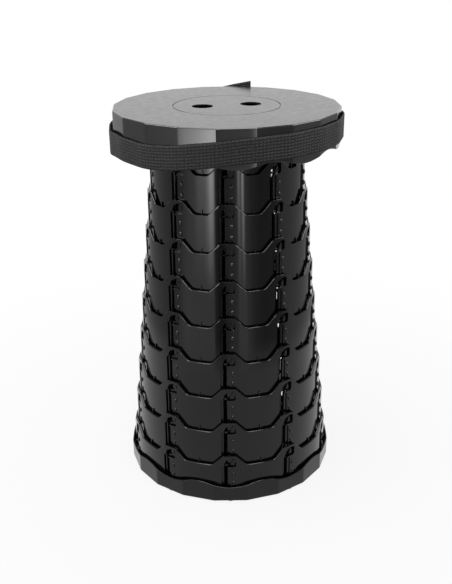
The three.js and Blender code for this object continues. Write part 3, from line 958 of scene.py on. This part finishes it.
web_face = (WEB_CORNER + WEB_THICK) * cos(DRUM_STEP / 2)
slider_near = web_face + CLEARANCE + web_slack(SLIDER_ANGLE - DRUM_STEP / 2)
slider_foot = SEAT_TOP - web_depth(SLIDER_ANGLE) - WEB_WIDTH / 2
slider = make_piece("strap_adjuster", slider_frame(slider_near, slider_foot), acetal)
finish_edges(slider)
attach(slider, "seat")
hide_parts("strap_slider")

# Strap end
# The loose end of the same webbing. It leaves the adjuster, climbs across the back of the skirt, and its
# heat-sealed tip stands above the seat's edge.
TAIL_LENGTH = 69 * MM
TAIL_LIFT = 14.5 * MM
TAIL_CUTS = 44
THREAD_LENGTH = 15 * MM
THREAD_RISE = 3.2 * MM
THREAD_CUTS = 14
THREAD_ARCH = 1.2


def strip(length, across, cuts):
    """A flat strip of webbing, its length along X and its width along Y, with its own map."""
    bm = bmesh.new()
    place = Matrix.Diagonal((length, across, 1, 1)) @ Matrix.Translation((0.5, 0.5, 0))
    bmesh.ops.create_grid(bm, x_segments=cuts, y_segments=WEB_ROWS, size=0.5, matrix=place)
    lay_uv(bm, lambda co, near: co.x, lambda vert: vert.co.y)
    return bm


def strap_end():
    """Laid round the corners of the skirt, over the strap, and lifted more and more along its length."""
    bm = strip(TAIL_LENGTH, WEB_WIDTH, TAIL_CUTS)
    start = SLIDER_ANGLE - (SLIDER_LENGTH / 2 + CLEARANCE) / web_face
    inner = WEB_CORNER + WEB_THICK + CLEARANCE + web_slack(SLIDER_ANGLE - DRUM_STEP / 2)
    low = SEAT_TOP - web_depth(start) - WEB_WIDTH / 2
    for vert in bm.verts:
        along, across = vert.co.x, vert.co.y
        angle = start - along / web_face
        radius = drum_radius(inner, angle, SEAT_TURN)
        height = low + across + TAIL_LIFT * along / TAIL_LENGTH
        vert.co = (radius * sin(angle), -radius * cos(angle), height)
    bm.normal_update()
    face_out(bm)
    return bm


def strap_over_bar():
    """The part of the strap that crosses the adjuster's middle bar."""
    bm = strip(THREAD_LENGTH, WEB_WIDTH, THREAD_CUTS)
    for vert in bm.verts:
        along, across = vert.co.x - THREAD_LENGTH / 2, vert.co.y
        rise = THREAD_RISE * max(0, cos(pi * along / THREAD_LENGTH)) ** THREAD_ARCH
        vert.co = (along, -(slider_near + rise - CLEARANCE), slider_foot + across)
    around(bm, bm.verts[:], SLIDER_ANGLE)
    bm.normal_update()
    face_out(bm)
    return bm


tail = make_piece("strap_end_webbing", strap_end(), woven)
over_bar = make_piece("strap_over_bar_webbing", strap_over_bar(), woven)
for piece in (tail, over_bar):
    finish_webbing(piece)
    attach(piece, "seat")
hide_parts("strap_tail")

# Floor, glowing sheets and lamps
# A plain pale floor in a white studio, with a broad soft lamp above and a weak one behind. Glowing screens
# stand round the stool, out of the picture, where only its gloss meets them: they are painted reflections,
# their glow set by angle so that they lay bright and dark upright bands in the rings. Glowing panels above
# the front and at the sides, also met only by the gloss, lay painted highlights on the humps' edges.
FLOOR_HALF = 3
SHADOW_REACH = 0.15
WHITE_REACH = 0.8
NEAR_WHITE_SHARE = 0.86
FLOOR_WHITE = "#e6e6e6"
GLOW_WHITE = "#ffffff"
GLOW_SHEET_SEGMENTS = 96
SCREEN_REACH = 0.42
SCREEN_TOP = 0.4
SCREEN_FULL = 0.05
FAINT_LEVEL = 1.2
BAND_LOW = 0.12
BAND_HIGH = 0.33
BAND_FALL = 1.25
PANEL_LIGHT = 13
PANEL_REACH = 0.8
PANEL_PLACE = Vector((0, -0.75, 1.6))
SIDE_REACH = 0.3
SIDE_PLACE = Vector((0.75, -0.25, 0.75))
WALL_LIGHT = 0.5

# The light of the screens at angles from the front, in degrees towards the right
SCREEN_LIGHT = (
    (-180, 0.6), (-165, 2), (-150, 1.1), (-120, 0.5), (-63, 0.6), (-44, 1.5), (-37.5, 3.1), (-29, 3.6),
    (-24, 7.6), (-22, 12), (-18.4, 10), (-17.2, 5), (-15.9, 0.4), (-7.7, 0.15), (0, 0.5), (12.2, 0.8),
    (13.3, 5.6), (15, 6), (15.9, 0.6), (16.8, 0.6), (17.6, 8), (20, 8.4), (21.1, 1), (23, 0.9),
    (30, 0.5), (41, 0.3), (63, 0.35), (73, 0.7), (120, 0.5), (150, 1.1), (165, 2), (180, 0.6),
)


def seen_directly(tree):
    """One for the camera's rays and for those by way of gloss or glass, else zero."""
    path = add_node(tree, "LightPath", {})
    seen = path.outputs["Is Camera Ray"]
    for kind in ("Is Glossy Ray", "Is Transmission Ray"):
        seen = add_node(tree, "Math", {0: seen, 1: path.outputs[kind]}, operation="MAXIMUM").outputs[0]
    return seen


def floor_paint():
    """Matt white paint, which keeps a soft shadow near the stool and fades to the background's white."""
    material, tree = new_material("matt_white_paint")
    place = add_node(tree, "TexCoord", {})
    reach = add_node(tree, "VectorMath", {0: place.outputs["Object"]}, operation="LENGTH")
    whiter = add_node(tree, "MapRange", {
        "Value": reach.outputs["Value"], "From Min": SHADOW_REACH, "From Max": WHITE_REACH,
        "To Min": NEAR_WHITE_SHARE,
    }, interpolation_type="SMOOTHSTEP")
    share = add_node(tree, "Math", {0: seen_directly(tree), 1: whiter.outputs[0]}, operation="MULTIPLY")
    paint = add_node(tree, "BsdfDiffuse", {"Color": linear(FLOOR_WHITE)})
    white = add_node(tree, "Emission", {"Color": linear(GLOW_WHITE), "Strength": 1})
    mixed = add_node(tree, "MixShader", {0: share.outputs[0], 1: paint.outputs[0], 2: white.outputs[0]})
    add_node(tree, "OutputMaterial", {"Surface": mixed.outputs[0]})
    return material


bm = bmesh.new()
bmesh.ops.create_grid(bm, x_segments=1, y_segments=1, size=FLOOR_HALF)
floor = make_piece("studio_floor", bm, floor_paint())


def screen_paint():
    """A glow seen only in the gloss, which paints the rings' reflections: bright or dark by the angle round
    the stool. Its bright bands are brightest at the top, and its foot fades into the floor's white."""
    material, tree = new_material("painted_reflection_screens")
    place = add_node(tree, "TexCoord", {})
    right, back, height = add_node(tree, "SeparateXYZ", {0: place.outputs["Object"]}).outputs
    front = add_node(tree, "Math", {0: back, 1: -1}, operation="MULTIPLY")
    angle = add_node(tree, "Math", {0: right, 1: front.outputs[0]}, operation="ARCTAN2")
    share = add_node(tree, "MapRange", {"Value": angle.outputs[0], "From Min": -pi, "From Max": pi})
    ramp = add_node(tree, "ValToRGB", {"Fac": share.outputs[0]})
    stops = ramp.color_ramp.elements
    while len(stops) < len(SCREEN_LIGHT):
        stops.new(0)
    for stop, (degrees, level) in zip(stops, SCREEN_LIGHT):
        stop.position = (degrees + 180) / 360
        stop.color = (level, level, level, 1)
    faint = add_node(tree, "VectorMath", {0: ramp.outputs[0], 1: (FAINT_LEVEL,) * 3}, operation="MINIMUM")
    rise = add_node(tree, "MapRange", {"Value": height, "From Min": BAND_LOW, "From Max": BAND_HIGH})
    share = add_node(tree, "Math", {0: rise.outputs[0], 1: BAND_FALL}, operation="POWER")
    bands = add_node(tree, "Mix", {
        "Factor": share.outputs[0], "A": faint.outputs[0], "B": ramp.outputs[0],
    }, data_type="RGBA")
    foot = add_node(tree, "MapRange", {"Value": height, "From Max": SCREEN_FULL})
    level = add_node(tree, "Mix", {
        "Factor": foot.outputs[0], "A": linear(GLOW_WHITE), "B": bands.outputs["Result"],
    }, data_type="RGBA")
    glow = add_node(tree, "Emission", {"Color": level.outputs["Result"], "Strength": 1})
    add_node(tree, "OutputMaterial", {"Surface": glow.outputs[0]})
    return material


# The screens: a glowing sheet round the stool, seen only in the gloss, that paints the rings' reflections
bm = bmesh.new()
bmesh.ops.create_cone(
    bm, cap_ends=False, segments=GLOW_SHEET_SEGMENTS, radius1=SCREEN_REACH, radius2=SCREEN_REACH,
    depth=SCREEN_TOP, matrix=Matrix.Translation((0, 0, SCREEN_TOP / 2)),
)
bmesh.ops.reverse_faces(bm, faces=bm.faces[:])
screens = make_piece("painted_reflection_screens", bm, screen_paint())

# The panels glow though they are no lamps. Only the gloss sees them, so they lay painted highlights, mainly
# on the humps' edges
panel_glow, tree = new_material("painted_highlight_glow")
glow = add_node(tree, "Emission", {"Color": linear(GLOW_WHITE), "Strength": PANEL_LIGHT})
add_node(tree, "OutputMaterial", {"Surface": glow.outputs[0]})
bm = bmesh.new()
bmesh.ops.create_circle(
    bm, cap_ends=True, segments=GLOW_SHEET_SEGMENTS, radius=PANEL_REACH,
    matrix=Matrix.Translation(PANEL_PLACE),
)
panel = make_piece("studio_overhead_panel", bm, panel_glow)

bm = bmesh.new()
upright = Matrix.Rotation(pi / 2, 4, "Y")
for side in (-1, 1):
    place = Matrix.Translation((side * SIDE_PLACE.x, SIDE_PLACE.y, SIDE_PLACE.z)) @ upright
    bmesh.ops.create_circle(bm, cap_ends=True, segments=GLOW_SHEET_SEGMENTS, radius=SIDE_REACH, matrix=place)
sides = make_piece("studio_side_panels", bm, panel_glow)
# These glowing sheets are seen only in the gloss: they light nothing and cast no shadow
for glow_sheet in (screens, panel, sides):
    glow_sheet.visible_camera = False
    glow_sheet.visible_diffuse = False
    glow_sheet.visible_shadow = False
    glow_sheet.visible_transmission = False

world = bpy.data.worlds.new("studio")
scene.world = world
world.use_nodes = True
tree = world.node_tree
tree.nodes.clear()
plain = add_node(tree, "Background", {"Color": linear(GLOW_WHITE), "Strength": WALL_LIGHT})
white = add_node(tree, "Background", {"Color": linear(GLOW_WHITE), "Strength": 1})
mixed = add_node(tree, "MixShader", {0: seen_directly(tree), 1: plain.outputs[0], 2: white.outputs[0]})
add_node(tree, "OutputWorld", {"Surface": mixed.outputs[0]})

lamp = bpy.data.lights.new("overhead_softbox", "AREA")
lamp.size = 1.4
lamp.energy = 18
overhead = bpy.data.objects.new("overhead_softbox", lamp)
overhead.location = (-0.3, -0.2, 1.7)
overhead.visible_camera = False
scene.collection.objects.link(overhead)

lamp = bpy.data.lights.new("back_softbox", "AREA")
lamp.shape = "RECTANGLE"
lamp.size = 2.4
lamp.size_y = 0.8
lamp.energy = 3
back = bpy.data.objects.new("back_softbox", lamp)
back.location = (0, 1.5, 0.95)
back.rotation_euler = (radians(-72), 0, 0)
back.visible_camera = False
scene.collection.objects.link(back)

scene.view_settings.view_transform = "Standard"
